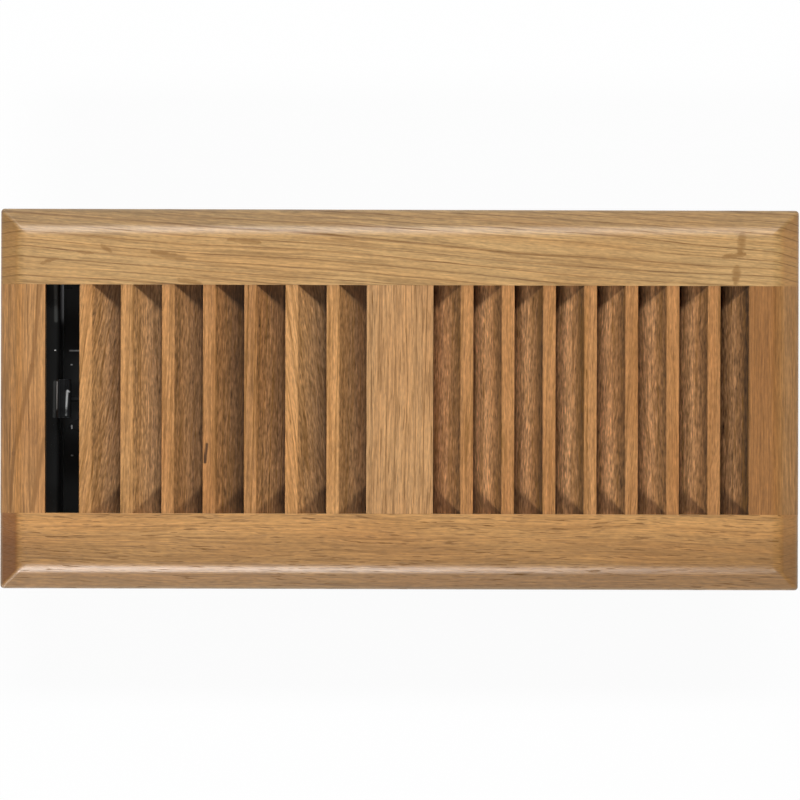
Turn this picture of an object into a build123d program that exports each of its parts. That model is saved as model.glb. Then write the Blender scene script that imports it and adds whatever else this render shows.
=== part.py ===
from build123d import *
from math import cos, hypot, radians, sin, tan
import os

# Wooden louvred floor register with a linked damper, in millimetres.
# X runs along the length, Y across it and Z up. z = 0 is the floor that the wooden face lies on.

# Wooden face
face_length = 292.1
face_width = 139.0
face_thickness = 12.7
corner_radius = 1.0
bevel_width = 7.5
bevel_angle = 40.0
arris_radius = 8.0
edge_radius = 1.2
rail_width = 27.7
left_stile_width = 16.5
right_stile_width = 18.25
mullion_width = 24.4
lever_slot = 12.1

# Louvre slats, leaning away from the lever on the left and towards it on the right
slat_top = 4.9
slat_lean = 45.0
left_slat_count = 7
right_slat_count = 8
slat_clear = 0.45

# Stub tongues that hold the slats, stiles and mullion in the rails
tongue_length = 4.0
tongue_cover = 3.2
tongue_sole = 1.2
tongue_shoulder = 2.0
bevel_shoulder = 1.0
glue_gap = 0.1

# Folded steel damper tray, let into a pocket under the face
sheet = 0.8
tray_depth = 36.0
tray_corner = 2.0
lever_end_inset = 4.15
far_end_inset = 2.4
side_outset = 7.4
flange_width = 8.0
bend_radius = 0.8
bend_leg = 0.5
pocket_depth = 3.0
pocket_clear = 0.5
pocket_radius = 4.0

# Pan-head screws that hold the tray to the rails
screw_head_radius = 2.9
screw_head_height = 1.6
screw_head_crown = 0.6
screw_radius = 1.5
screw_length = 8.0
screw_point = 2.0
screw_inset = 35.4
screw_clear = 0.25
pilot_clear = 0.05

# Damper blades, stamped and folded from sheet
blade_count = 8
blade_overlap = 1.2
blade_end_gap = 0.6
blade_side_gap = 0.6
closed_tilt = 4.0
damper_swing = 70.0
pivot_depth = 18.0
pivot_tab = 2.4
pivot_clear = 0.08
pivot_overhang = 1.0
ear_width = 4.8
hook_width = 1.6
hook_turn = 1.2

# Link bar and the thumb knob on its upright
crank_arm = 4.5
link_height = 4.4
link_thickness = 1.0
link_side_gap = 0.3
link_tail = 4.0
hook_clear = 0.06
notch_clear = 0.7
upright_width = 3.0
upright_gap = 0.5
upright_fillet = 2.0
knob_length = 5.4
knob_width = 14.0
knob_bottom = 3.7
knob_top = 8.5
knob_roof = 1.4
knob_lead = 1.5
knob_round = 1.2
knob_fit = 0.05
knob_groove = 0.4
knob_groove_spacing = 1.8

# Layout along the length: the slats share out the room that the other members leave
opening_length = face_length - left_stile_width - right_stile_width
opening_width = face_width - 2 * rail_width
slat_count = left_slat_count + right_slat_count
slat_room = opening_length - lever_slot - mullion_width
slat_space = (slat_room - (slat_count - 1) * slat_top) / slat_count
slat_pitch = slat_top + slat_space
left_bank = left_slat_count * slat_pitch
opening_left = left_stile_width - face_length / 2
opening_right = face_length / 2 - right_stile_width
opening_middle = (opening_left + opening_right) / 2
mullion_left = opening_left + lever_slot + left_bank
mullion_middle = mullion_left + mullion_width / 2
mullion_right = mullion_left + mullion_width
slat_run = face_thickness * tan(radians(slat_lean))
left_slats = [opening_left + lever_slot + i * slat_pitch for i in range(left_slat_count)]
right_slats = [mullion_right + slat_space + i * slat_pitch for i in range(right_slat_count)]

# Tongue heights and the relief that lets the slats beside the mullion pass under it
tongue_bottom = pocket_depth + tongue_sole
tongue_height = face_thickness - tongue_cover - tongue_bottom
tongue_middle = tongue_bottom + tongue_height / 2
tongue_reach = opening_width / 2 + tongue_length
mullion_bottom = max(0, face_thickness - (slat_space - slat_clear) / tan(radians(slat_lean)))

# Tray walls
tray_left = opening_left + lever_end_inset
tray_right = opening_right - far_end_inset
tray_length = tray_right - tray_left
tray_width = opening_width + 2 * side_outset
tray_middle = (tray_left + tray_right) / 2
tray_inner_length = tray_length - 2 * sheet
tray_inner_width = tray_width - 2 * sheet
tray_inner_left = tray_left + sheet
wall_top = pocket_depth - sheet - bend_radius - bend_leg
pocket_length = tray_length + 2 * (flange_width + pocket_clear)
pocket_width = tray_width + 2 * (flange_width + pocket_clear)
screw_line = tray_width / 2 + (flange_width + bend_radius) / 2
screw_xs = [tray_left + screw_inset, tray_right - screw_inset]
screw_base = pocket_depth - sheet

# Damper places with the blades shut
blade_pitch = (tray_inner_length - 2 * blade_end_gap - blade_overlap) / blade_count
blade_width = blade_pitch + blade_overlap
blade_length = tray_inner_width - 2 * blade_side_gap
blade_xs = [tray_middle + (i - (blade_count - 1) / 2) * blade_pitch for i in range(blade_count)]
pin_dx = -crank_arm * sin(radians(damper_swing / 2))
pin_dz = crank_arm * cos(radians(damper_swing / 2))
pin_z = pin_dz - pivot_depth
pin_places = [(x + pin_dx, pin_z) for x in blade_xs]
crank_angle = radians(damper_swing / 2 + closed_tilt)
ear_face = link_thickness / 2 + link_side_gap
ear_foot = -crank_arm * sin(crank_angle)
ear_height = crank_arm * cos(crank_angle)
hook_end = ear_face + sheet
pivot_hole = hypot(pivot_tab / 2, sheet / 2) + pivot_clear
hook_hole = hypot(hook_width / 2, sheet / 2) + hook_clear
upright_left = tray_inner_left + upright_gap
upright_top = knob_top - knob_roof
knob_middle = upright_left + knob_length / 2 - knob_lead

os.makedirs("parts", exist_ok=True)


def save(builder, name):
    builder.part.label = name
    export_step(builder.part, f"parts/{name}.step")


def slat_section(top_left, run):
    # parallelogram from the top of the face to its underside, trimmed at the opening's ends
    Polygon(
        (top_left, face_thickness),
        (top_left + slat_top, face_thickness),
        (top_left + slat_top + run, 0),
        (top_left + run, 0),
        align=None,
    )


def trim_to_band(bottom, height):
    with Locations((opening_middle, bottom + height / 2)):
        Rectangle(opening_length, height, mode=Mode.INTERSECT)


def stile_tongue(left, right):
    with Locations(((left + right) / 2, tongue_middle)):
        Rectangle(right - left, tongue_height)


# Tongue limits of the three upright members, each as its left and right side
tongue_spans = {
    "left_stile": (bevel_width + bevel_shoulder - face_length / 2, opening_left - tongue_shoulder),
    "centre_mullion": (mullion_left + tongue_shoulder, mullion_right - tongue_shoulder),
    "right_stile": (opening_right + tongue_shoulder, face_length / 2 - bevel_width - bevel_shoulder),
}

# The whole face before it is divided: bevelled and eased edges, and the pocket for the tray's flanges
bevel_drop = bevel_width * tan(radians(bevel_angle))
shoulder = face_thickness - bevel_drop
with BuildPart() as face_blank:
    with BuildSketch():
        Rectangle(face_length, face_width)
    extrude(amount=face_thickness)
    top = faces().sort_by(Axis.Z)[-1]
    chamfer(top.edges(), length=bevel_width, length2=bevel_drop, reference=top)
    fillet(faces().sort_by(Axis.Z)[-1].edges(), arris_radius)
    fillet(edges().filter_by(lambda edge: abs(edge.center().Z - shoulder) < edge_radius / 10), edge_radius)
    with BuildSketch():
        RectangleRounded(face_length, face_width, corner_radius)
    extrude(amount=face_thickness, mode=Mode.INTERSECT)
    with BuildSketch():
        with Locations((tray_middle, 0)):
            RectangleRounded(pocket_length, pocket_width, pocket_radius)
    extrude(amount=pocket_depth, mode=Mode.SUBTRACT)

# Mortises for every tongue, a glue line larger all round
with BuildPart() as mortises:
    with BuildSketch(Plane.XZ):
        for top_left in left_slats:
            slat_section(top_left, slat_run)
        for top_left in right_slats:
            slat_section(top_left, -slat_run)
        trim_to_band(tongue_bottom, tongue_height)
        for left, right in tongue_spans.values():
            stile_tongue(left, right)
        offset(amount=glue_gap, kind=Kind.INTERSECTION, mode=Mode.REPLACE)
    extrude(amount=tongue_reach + glue_gap, both=True)

# Back and front rails, running the full length
for name, side in (("back_rail", 1), ("front_rail", -1)):
    with BuildPart() as rail:
        add(face_blank.part)
        with Locations((0, side * (face_width - rail_width) / 2, face_thickness / 2)):
            Box(face_length, rail_width, face_thickness, mode=Mode.INTERSECT)
        add(mortises.part, mode=Mode.SUBTRACT)
        with BuildSketch(Plane.XY.offset(pocket_depth)):
            with Locations(*[(x, side * screw_line) for x in screw_xs]):
                Circle(screw_radius + pilot_clear)
        extrude(amount=screw_length - sheet + glue_gap, mode=Mode.SUBTRACT)
    save(rail, name)

# Stiles at the two ends, between the rails
stile_places = (
    ("left_stile", -face_length / 2, opening_left),
    ("right_stile", opening_right, face_length / 2),
)
for name, left, right in stile_places:
    with BuildPart() as stile:
        add(face_blank.part)
        with Locations(((left + right) / 2, 0, face_thickness / 2)):
            Box(right - left, opening_width, face_thickness, mode=Mode.INTERSECT)
        with BuildSketch(Plane.XZ):
            stile_tongue(*tongue_spans[name])
        extrude(amount=tongue_reach, both=True)
    save(stile, name)

# Centre mullion, relieved underneath
with BuildPart() as centre_mullion:
    with BuildSketch(Plane.XZ):
        with Locations((mullion_middle, (mullion_bottom + face_thickness) / 2)):
            Rectangle(mullion_width, face_thickness - mullion_bottom)
    extrude(amount=opening_width / 2, both=True)
    with BuildSketch(Plane.XZ):
        stile_tongue(*tongue_spans["centre_mullion"])
    extrude(amount=tongue_reach, both=True)
save(centre_mullion, "centre_mullion")

# Louvre slats of both banks
slats = [(f"left_slat_{i}", x, slat_run) for i, x in enumerate(left_slats, 1)]
slats += [(f"right_slat_{i}", x, -slat_run) for i, x in enumerate(right_slats, 1)]
for name, top_left, run in slats:
    with BuildPart() as slat:
        with BuildSketch(Plane.XZ):
            slat_section(top_left, run)
            trim_to_band(0, face_thickness)
        extrude(amount=opening_width / 2, both=True)
        with BuildSketch(Plane.XZ):
            slat_section(top_left, run)
            trim_to_band(tongue_bottom, tongue_height)
        extrude(amount=tongue_reach, both=True)
    save(slat, name)


def flange_section(inner_face):
    # folded corner of the sheet, from the top of a wall out to the flange's edge
    outer_bend = bend_radius + sheet
    edge = inner_face + sheet + flange_width
    with BuildLine() as fold:
        Polyline(
            (inner_face, wall_top),
            (inner_face, pocket_depth),
            (edge, pocket_depth),
            (edge, screw_base),
            (inner_face + sheet, screw_base),
            (inner_face + sheet, wall_top),
            close=True,
        )
    make_face(fold.edges())
    fillet(vertices().sort_by_distance((inner_face, pocket_depth))[0], outer_bend)
    fillet(vertices().sort_by_distance((inner_face + sheet, screw_base))[0], bend_radius)
    mirror(about=Plane.YZ)


# Damper tray: an open sleeve with a flange folded out along each side
tray_end_plane = Plane(origin=(tray_middle, 0, 0), x_dir=(1, 0, 0), z_dir=(0, -1, 0))
tray_side_plane = Plane(origin=(tray_middle, 0, 0), x_dir=(0, 1, 0), z_dir=(1, 0, 0))
with BuildPart() as damper_tray:
    with BuildSketch(Plane.XY.offset(-tray_depth)):
        with Locations((tray_middle, 0)):
            RectangleRounded(tray_length, tray_width, tray_corner)
            RectangleRounded(tray_inner_length, tray_inner_width, tray_corner - sheet, mode=Mode.SUBTRACT)
    extrude(amount=tray_depth + wall_top)
    with BuildSketch(tray_side_plane):
        flange_section(tray_inner_width / 2)
    extrude(amount=tray_length / 2 - tray_corner, both=True)
    with BuildSketch(tray_end_plane):
        flange_section(tray_inner_length / 2)
    extrude(amount=tray_width / 2 - tray_corner, both=True)
    with BuildSketch(Plane.XY.offset(screw_base)):
        with Locations(*[(x, side * screw_line) for x in screw_xs for side in (-1, 1)]):
            Circle(screw_radius + screw_clear)
    extrude(amount=sheet, mode=Mode.SUBTRACT)
    with BuildSketch(Plane.XZ):
        with Locations(*[(x, -pivot_depth) for x in blade_xs]):
            Circle(pivot_hole)
    extrude(amount=tray_width / 2, both=True, mode=Mode.SUBTRACT)
save(damper_tray, "damper_tray")

# One tray screw standing head down, then the whole set
with BuildPart() as screw:
    with BuildSketch(Plane.XZ):
        with BuildLine():
            Polyline(
                (0, -screw_head_height),
                (screw_head_radius - screw_head_crown, -screw_head_height),
                (screw_head_radius, screw_head_crown - screw_head_height),
                (screw_head_radius, 0),
                (screw_radius, 0),
                (screw_radius, screw_length - screw_point),
                (0, screw_length),
                close=True,
            )
        make_face()
    revolve(axis=Axis.Z)

with BuildPart() as tray_screws:
    with Locations(*[(x, side * screw_line, screw_base) for x in screw_xs for side in (-1, 1)]):
        add(screw.part)
save(tray_screws, "tray_screws")

# Damper blades: a blank with a pivot tab at each end, and an ear and hook folded up out of its notch
tilt = radians(closed_tilt)
pivot_span = tray_width + 2 * pivot_overhang
notch_near = -link_thickness / 2 - notch_clear
ear_blank = ear_height + ear_face + hook_end
for i, x in enumerate(blade_xs, 1):
    pivot = (x, 0, -pivot_depth)
    along_blade = (cos(tilt), 0, -sin(tilt))
    blade_plane = Plane(origin=pivot, x_dir=along_blade, z_dir=(sin(tilt), 0, cos(tilt)))
    fold_plane = Plane(origin=pivot, x_dir=along_blade, z_dir=(0, -1, 0))
    with BuildPart() as blade:
        with BuildSketch(blade_plane):
            Rectangle(blade_width, blade_length)
            Rectangle(pivot_tab, pivot_span)
            with Locations((-blade_width / 4, (notch_near + ear_face) / 2)):
                Rectangle(blade_width / 2, ear_face - notch_near, mode=Mode.SUBTRACT)
            with Locations((ear_foot, ear_face - ear_blank / 2)):
                Rectangle(ear_width, ear_blank, mode=Mode.SUBTRACT)
        extrude(amount=sheet / 2, both=True)
        with BuildSketch(fold_plane.offset(-ear_face)):
            with Locations((ear_foot, (ear_height + sheet / 2) / 2)):
                Rectangle(ear_width, ear_height + sheet / 2)
        extrude(amount=-sheet)
        with BuildSketch(fold_plane.offset(-ear_face)):
            with Locations((ear_foot, ear_height)):
                Rectangle(hook_width, sheet)
        extrude(amount=ear_face + hook_end)
        with BuildSketch(fold_plane.offset(ear_face)):
            with Locations((ear_foot, ear_height + hook_turn / 2)):
                Rectangle(hook_width, sheet + hook_turn)
        extrude(amount=sheet)
    save(blade, f"damper_blade_{i}")

# Link bar with its upright for the thumb knob and a round hole for each blade's hook
link_right = pin_places[-1][0] + link_tail
with BuildPart() as link_bar:
    with BuildSketch(Plane.XZ):
        with Locations(((upright_left + link_right) / 2, pin_z)):
            Rectangle(link_right - upright_left, link_height)
        with Locations((upright_left + upright_width / 2, (pin_z + upright_top) / 2)):
            Rectangle(upright_width, upright_top - pin_z)
        inner_corner = (upright_left + upright_width, pin_z + link_height / 2)
        fillet(vertices().sort_by_distance(inner_corner)[0], upright_fillet)
        with Locations(*pin_places):
            Circle(hook_hole, mode=Mode.SUBTRACT)
    extrude(amount=link_thickness / 2, both=True)
save(link_bar, "link_bar")

# Thumb knob, pushed down on the upright, with a rounded and grooved top
with BuildPart() as thumb_knob:
    with BuildSketch(Plane.XZ):
        with Locations((knob_middle, (knob_bottom + knob_top) / 2)):
            Rectangle(knob_length, knob_top - knob_bottom)
        fillet(vertices().group_by(Axis.Y)[-1], knob_round)
        with Locations((knob_middle, knob_top)):
            with GridLocations(knob_groove_spacing, 0, 2, 1):
                Circle(knob_groove, mode=Mode.SUBTRACT)
    extrude(amount=knob_width / 2, both=True)
    with BuildSketch(Plane.XY.offset(knob_bottom)):
        with Locations((upright_left + upright_width / 2, 0)):
            Rectangle(upright_width + 2 * knob_fit, link_thickness + 2 * knob_fit)
    extrude(amount=upright_top - knob_bottom, mode=Mode.SUBTRACT)
save(thumb_knob, "thumb_knob")
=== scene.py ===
import bmesh
import bpy
from math import cos, pi, radians, sin, tan
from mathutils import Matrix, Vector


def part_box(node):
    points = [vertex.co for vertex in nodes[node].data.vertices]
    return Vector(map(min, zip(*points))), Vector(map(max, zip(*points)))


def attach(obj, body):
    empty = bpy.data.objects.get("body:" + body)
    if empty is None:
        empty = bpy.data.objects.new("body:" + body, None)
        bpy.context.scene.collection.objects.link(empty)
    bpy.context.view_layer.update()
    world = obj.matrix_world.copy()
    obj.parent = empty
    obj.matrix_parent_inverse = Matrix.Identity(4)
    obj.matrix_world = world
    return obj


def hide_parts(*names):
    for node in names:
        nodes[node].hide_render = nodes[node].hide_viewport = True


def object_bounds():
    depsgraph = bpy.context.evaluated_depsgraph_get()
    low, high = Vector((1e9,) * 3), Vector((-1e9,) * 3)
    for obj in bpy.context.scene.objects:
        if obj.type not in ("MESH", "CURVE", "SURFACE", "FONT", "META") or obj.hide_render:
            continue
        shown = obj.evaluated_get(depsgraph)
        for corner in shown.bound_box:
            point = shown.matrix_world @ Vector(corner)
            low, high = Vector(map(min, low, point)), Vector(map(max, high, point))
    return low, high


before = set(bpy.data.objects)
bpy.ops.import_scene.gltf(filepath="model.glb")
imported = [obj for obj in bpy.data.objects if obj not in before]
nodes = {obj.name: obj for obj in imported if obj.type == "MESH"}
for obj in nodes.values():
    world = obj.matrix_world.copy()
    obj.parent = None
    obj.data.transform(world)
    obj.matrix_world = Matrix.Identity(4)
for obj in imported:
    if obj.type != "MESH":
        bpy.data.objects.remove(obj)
cadLow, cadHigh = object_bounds()
mm = 0.001
mmPerMetre = 1000.0
print("frame loaded:", len(nodes), "nodes")


# shader and geometry node maths, written as Python sums

class Val:
    def __init__(self, maker, socket):
        self.maker = maker
        self.socket = socket

    def sum(self, operation, first, second=0.0):
        return self.maker.make("ShaderNodeMath", {"operation": operation}, {0: first, 1: second})

    def __add__(self, other):
        return self.sum("ADD", self, other)

    def __sub__(self, other):
        return self.sum("SUBTRACT", self, other)

    def __rsub__(self, other):
        return self.sum("SUBTRACT", other, self)

    def __mul__(self, other):
        return self.sum("MULTIPLY", self, other)

    def __rmul__(self, other):
        return self.sum("MULTIPLY", other, self)

    def __truediv__(self, other):
        return self.sum("DIVIDE", self, other)

    def __pow__(self, other):
        return self.sum("POWER", self, other)

    def fraction(self):
        return self.sum("FRACT", self)


class NodeMaker:
    def __init__(self, nodeTree):
        self.nodeTree = nodeTree

    def make(self, kind, settings=None, inputs=None, output=0):
        node = self.nodeTree.nodes.new(kind)
        for key, value in (settings or {}).items():
            setattr(node, key, value)
        for key, value in (inputs or {}).items():
            if isinstance(value, Val):
                self.nodeTree.links.new(value.socket, node.inputs[key])
            else:
                node.inputs[key].default_value = value
        return Val(self, node.outputs[output]) if node.outputs else node

    def fade(self, value, low, high, start=0.0, end=1.0):
        return self.make("ShaderNodeMapRange", {"interpolation_type": "SMOOTHSTEP"},
                         {"Value": value, "From Min": low, "From Max": high, "To Min": start, "To Max": end})

    def noise(self, vector, scale=1.0, detail=2.0, roughness=0.5):
        return self.make("ShaderNodeTexNoise", {"noise_dimensions": "3D"},
                         {"Vector": vector, "Scale": scale, "Detail": detail, "Roughness": roughness}, "Fac")

    def grained(self, parts, scales, detail=1.0, roughness=0.5):
        # noise with a scale of its own along each part of the place, from -0.5 to 0.5
        spot = self.vector(*[part * scale for part, scale in zip(parts, scales)])
        return self.noise(spot, detail=detail, roughness=roughness) - 0.5

    def vector(self, x, y, z):
        return self.make("ShaderNodeCombineXYZ", {}, {0: x, 1: y, 2: z})

    def split(self, vector):
        return [self.make("ShaderNodeSeparateXYZ", {}, {0: vector}, i) for i in range(3)]

    def place(self):
        return self.make("ShaderNodeTexCoord", output="Object")

    def inMm(self, place):
        return [part * mmPerMetre for part in self.split(place)]

    def attribute(self, name, output="Vector"):
        return self.make("ShaderNodeAttribute", {"attribute_name": name}, {}, output)

    def strokes(self, x, y, marks, pinch=0.0):
        # soft dashes, each from one end to the other with a half width, thinner at the ends by the pinch
        mask = 0.0
        for x0, y0, x1, y1, width in marks:
            dx, dy = x1 - x0, y1 - y0
            run = self.make("ShaderNodeMapRange", {},
                            {"Value": (x - x0) * dx + (y - y0) * dy, "From Max": dx * dx + dy * dy})
            offX, offY = x - x0 - run * dx, y - y0 - run * dy
            fromMiddle = run * 2.0 - 1.0
            body = (1.0 - fromMiddle * fromMiddle * pinch) * (width * width)
            mask = self.fade((offX * offX + offY * offY) / body, 1.0, 0.0) + mask
        return mask

    def mix(self, factor, first, second, blend="MIX"):
        return self.make("ShaderNodeMix", {"data_type": "RGBA", "blend_type": blend, "clamp_factor": True},
                         {0: factor, 6: first, 7: second}, 2)


def newMaterial(name):
    material = bpy.data.materials.new(name)
    material.use_nodes = True
    material.node_tree.nodes.clear()
    return material, NodeMaker(material.node_tree)


def closeMaterial(tree, shader):
    tree.make("ShaderNodeOutputMaterial", {}, {"Surface": shader})


def addObject(name, data):
    made = bpy.data.objects.new(name, data)
    bpy.context.scene.collection.objects.link(made)
    return made


# oak: rings round a far pith, hair lines, open pores, fine fibres, satin varnish

# figures of the grain: repeats a mm along and across it, then the noise's detail and roughness
grainFigures = {
    "fibres": (0.04, 1.4, 2.0, 0.7), "threads": (0.11, 2.5, 1.0, 0.5), "bands": (0.007, 0.4, 2.0, 0.5),
    "patches": (0.02, 0.06, 2.0, 0.5), "flecks": (0.24, 2.1, 1.0, 0.5), "specks": (0.4, 1.6, 1.0, 0.5),
}
# the grain's bends and rings: noise scales in repeats a mm, and limits of the noise where rings and hairs show
grainBends = {
    "waver": (0.011, 0.05, 0.05), "ripple": (0.03, 0.2, 0.1), "drift": (0.004, 0.09), "driftBy": 2.2,
    "strength": (0.022, 0.9, 3.0), "ringShows": (0.3, 0.6), "ringStart": 0.02, "ringEnd": 0.96,
    "hairAlong": 0.009, "hairWidth": 0.0036, "hairShows": (0.35, 0.6, 0.25, 1.0), "layDown": 0.3,
}
# where looks change, from and to in mm: heights, reach towards the rails, and the part's middle
oakZones = {
    "sawn": (12.62, 12.3), "paintedLightSwing": (12.4, 6.0), "raw": (12.4, 5.0), "paintedEdgeSheenAndShade": (7.6, 6.4), "footPaintedShade": (3.4, 2.4),
    "railPaintedShade": (40.0, 43.6), "middle": (-1.0, 1.0),
}
# the corner and foot shade, the end tints, the paler edge colour and the low edge mix set below are painted shade,
# painted light and painted sheen
oakBase = {
    "grain": "X", "shift": (0.0, 0.0, 0.0), "slant": 0.0, "slantFrom": 0.0, "streak": 0.6, "waver": 6.0, "ripple": 0.6,
    "pith": (60.0, -45.0), "ring": 3.4, "earlyWidth": 0.2, "earlyLow": 0.3, "hairAcross": 0.5, "hair": 0.4,
    "poreAlong": 0.06, "poreAcross": 1.9, "poreCut": 0.55, "poreBase": 0.25, "pore": 0.7, "poreEarly": 0.8,
    "fibre": 0.9, "thread": 0.9, "band": 0.5, "fleck": 0.1, "speck": 0.6, "gloss": 1.55, "rough": 0.5,
    "bump": 0.45, "bumpDepth": 0.12 * mm, "coat": 0.0, "coatRough": 0.42, "coatGloss": 1.65,
    "endShade": 0.14, "endPores": 0.85, "endHair": 0.5, "endCalm": 0.6,
    "sawnFleck": 0.36, "sawnSpeck": 0.8, "sawnRough": 0.4, "sawnRaw": 0.3,
    "faceHeight": 12.7, "backPaintedShade": (0.43, 0.26), "frontPaintedShade": (0.24, 0.33), "footPaintedShade": 0.35,
    "blot": 2.0, "blotScale": 420.0, "marks": [], "pinch": 0.0, "paintedEdgeSheenAndShade": 0.35,
    "ramp": (0.0, 1.0, 1.0, 1.0), "paintedLightEdge": (0.0, 1.0, 0.0, 0.0),
    "paintedLightColour": (0.545, 0.27, 0.094, 1.0), "yellow": (1.0, 1.08, 1.13, 1.0), "paintedEdgeSheenAndShadeColour": (0.36, 0.28, 0.19, 1.0),
    "paintedEndLightAndShade": ((1.0, 1.0, 1.0, 1.0), (1.0, 1.0, 1.0, 1.0)),
    "raw": (0.27, 0.19, 0.13, 1.0), "dark": (0.300, 0.140, 0.034, 1.0), "poreColour": (0.195, 0.084, 0.014, 1.0),
    "markColour": (0.33, 0.16, 0.04, 1.0), "paintedShadeColour": (0.046, 0.037, 0.033, 1.0),
}


def oakMaterial(name, look, perSlat=False):
    material, tree = newMaterial(name)
    place = tree.place()
    turn = radians(90) if look["grain"] == "Y" else 0.0
    grain = tree.make("ShaderNodeMapping", {"vector_type": "POINT"},
                      {"Vector": place, "Location": look["shift"], "Rotation": (0.0, 0.0, -turn),
                       "Scale": (mmPerMetre, mmPerMetre, mmPerMetre)})
    along, across, depth = tree.split(grain)
    x, y, z = tree.inMm(place)
    facing = tree.split(tree.make("ShaderNodeTexCoord", output="Normal"))["XY".index(look["grain"])]
    endGrain = tree.fade(facing * facing, 0.1, 0.4)
    tone, slant, streak, yellow = 0.0, look["slant"], look["streak"], 0.0
    paintedCornerShade, sawn = 0.0, 0.0
    # end grain is darker, and the ramp darkens a rail towards its outer bevel: painted shade on the bevel, and on the
    # front rail also a darker band of its wood
    faceTone = (1.0 - endGrain * look["endShade"]) * tree.fade(across, *look["ramp"])
    if perSlat:
        tone, slant, streak = tree.split(tree.attribute("slatLook"))
        paintedFaceShade, paintedLightSwing, yellow = tree.split(tree.attribute("slatHeart"))
        number = tree.attribute("slatNumber", "Fac")
        # the sawn faces are painted darker than the tops by each slat's amount, swinging from darker just under the top
        # edge to lighter low down: painted shade, and painted light where the low part comes out lighter than the top
        sawn = tree.fade(z, *oakZones["sawn"])
        faceTone = faceTone * (1.0 - sawn * (paintedFaceShade - paintedLightSwing * tree.fade(z, *oakZones["paintedLightSwing"], -1.0, 1.0)))
        # painted shade where a slat runs into the rails and low between the slats
        below = look["faceHeight"] - z
        for reach, amounts in ((below + y, look["backPaintedShade"]), (below - y, look["frontPaintedShade"])):
            paintedCornerShade = tree.fade(reach, *oakZones["railPaintedShade"]) * tree.fade(x, *oakZones["middle"], *amounts) + paintedCornerShade
        paintedCornerShade = paintedCornerShade + tree.fade(z, *oakZones["footPaintedShade"], 0.0, look["footPaintedShade"])
        # a different stretch of wood for each slat
        along = along + number * look["slatAlong"]
        depth = depth + number * look["slatDown"]
    # slow waver of the grain
    waver = tree.grained((along, across, depth), grainBends["waver"], detail=2.0)
    ripple = tree.grained((along, across, depth), grainBends["ripple"])
    bent = across + (along - look["slantFrom"]) * slant + waver * look["waver"] + ripple * look["ripple"]
    # growth rings round the pith, with dark early wood
    toPith, downPith = bent - look["pith"][0], depth - look["pith"][1]
    radius = (toPith * toPith + downPith * downPith) ** 0.5
    driftAlong, driftOut = grainBends["drift"]
    ringDrift = tree.noise(tree.vector(along * driftAlong, radius * driftOut, 0.0), detail=1.0) - 0.5
    rings = radius / look["ring"] + ringDrift * grainBends["driftBy"]
    phase = rings.fraction()
    early = 1.0 - tree.fade(phase, grainBends["ringStart"], look["earlyWidth"])
    early = early + tree.fade(phase, grainBends["ringEnd"], 1.0)
    strongAlong, strongOut, strongLevel = grainBends["strength"]
    strength = tree.noise(tree.vector(along * strongAlong, rings * strongOut, strongLevel), detail=2.0)
    early = early * tree.fade(strength, *grainBends["ringShows"], look["earlyLow"], 1.0)
    # hair lines: thin, dark and nearly unbroken
    lay = depth * grainBends["layDown"]
    fibreWays = (along, bent, lay)
    hair = tree.grained(fibreWays, (grainBends["hairAlong"], look["hairAcross"], look["hairAcross"]))
    hair = tree.fade(hair * hair, grainBends["hairWidth"], 0.0) * tree.fade(strength, *grainBends["hairShows"])
    hair = hair * (1.0 - endGrain * look["endHair"])
    # pores: short dark dashes, thick in the early wood
    poreScales = (look["poreAlong"], look["poreAcross"], look["poreAcross"])
    poreCut = look["poreCut"] - 0.5
    pores = tree.fade(tree.grained(fibreWays, poreScales, 1.5, 0.6), poreCut, poreCut + 0.07)
    pores = pores * (early * look["poreEarly"] + look["poreBase"]) * (1.0 - endGrain * look["endPores"])
    # fibres, coarse and fine, broad bands and patches, pale flecks, and specks of the cut fibres
    figures = {}
    for label, (alongScale, acrossScale, detail, roughness) in grainFigures.items():
        figures[label] = tree.grained(fibreWays, (alongScale, acrossScale, acrossScale), detail, roughness)
    fibres, threads, bands = figures["fibres"], figures["threads"], figures["bands"]
    flecks = tree.fade(figures["flecks"], 0.02, 0.17) * (sawn * look["sawnFleck"] + look["fleck"])
    specks = figures["specks"] * (sawn * look["sawnSpeck"] + look["speck"]) * (tone + 1.0)

    wood = tree.mix(figures["patches"] * 2.0 + bands * 1.4 + 0.5, look["pale"], look["warm"])
    wood = tree.mix(sawn * tree.fade(z, *oakZones["raw"], 0.0, look["sawnRaw"]), wood, look["raw"])
    wood = tree.mix(yellow, wood, look["yellow"], "MULTIPLY")
    # the right stile's outer edge is mixed towards a paler colour: painted light
    wood = tree.mix(tree.fade(across, *look["paintedLightEdge"]), wood, look["paintedLightColour"])
    wood = tree.mix(early * streak, wood, look["dark"])
    shade = fibres * look["fibre"] + threads * look["thread"] + bands * look["band"] + flecks + specks
    shade = (shade * (1.0 - endGrain * look["endCalm"]) + tone + 1.0) * faceTone
    wood = tree.mix(1.0, wood, tree.vector(shade, shade, shade), "MULTIPLY")
    wood = tree.mix(hair * look["hair"], wood, look["poreColour"])
    wood = tree.mix(pores * look["pore"], wood, look["poreColour"])
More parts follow.
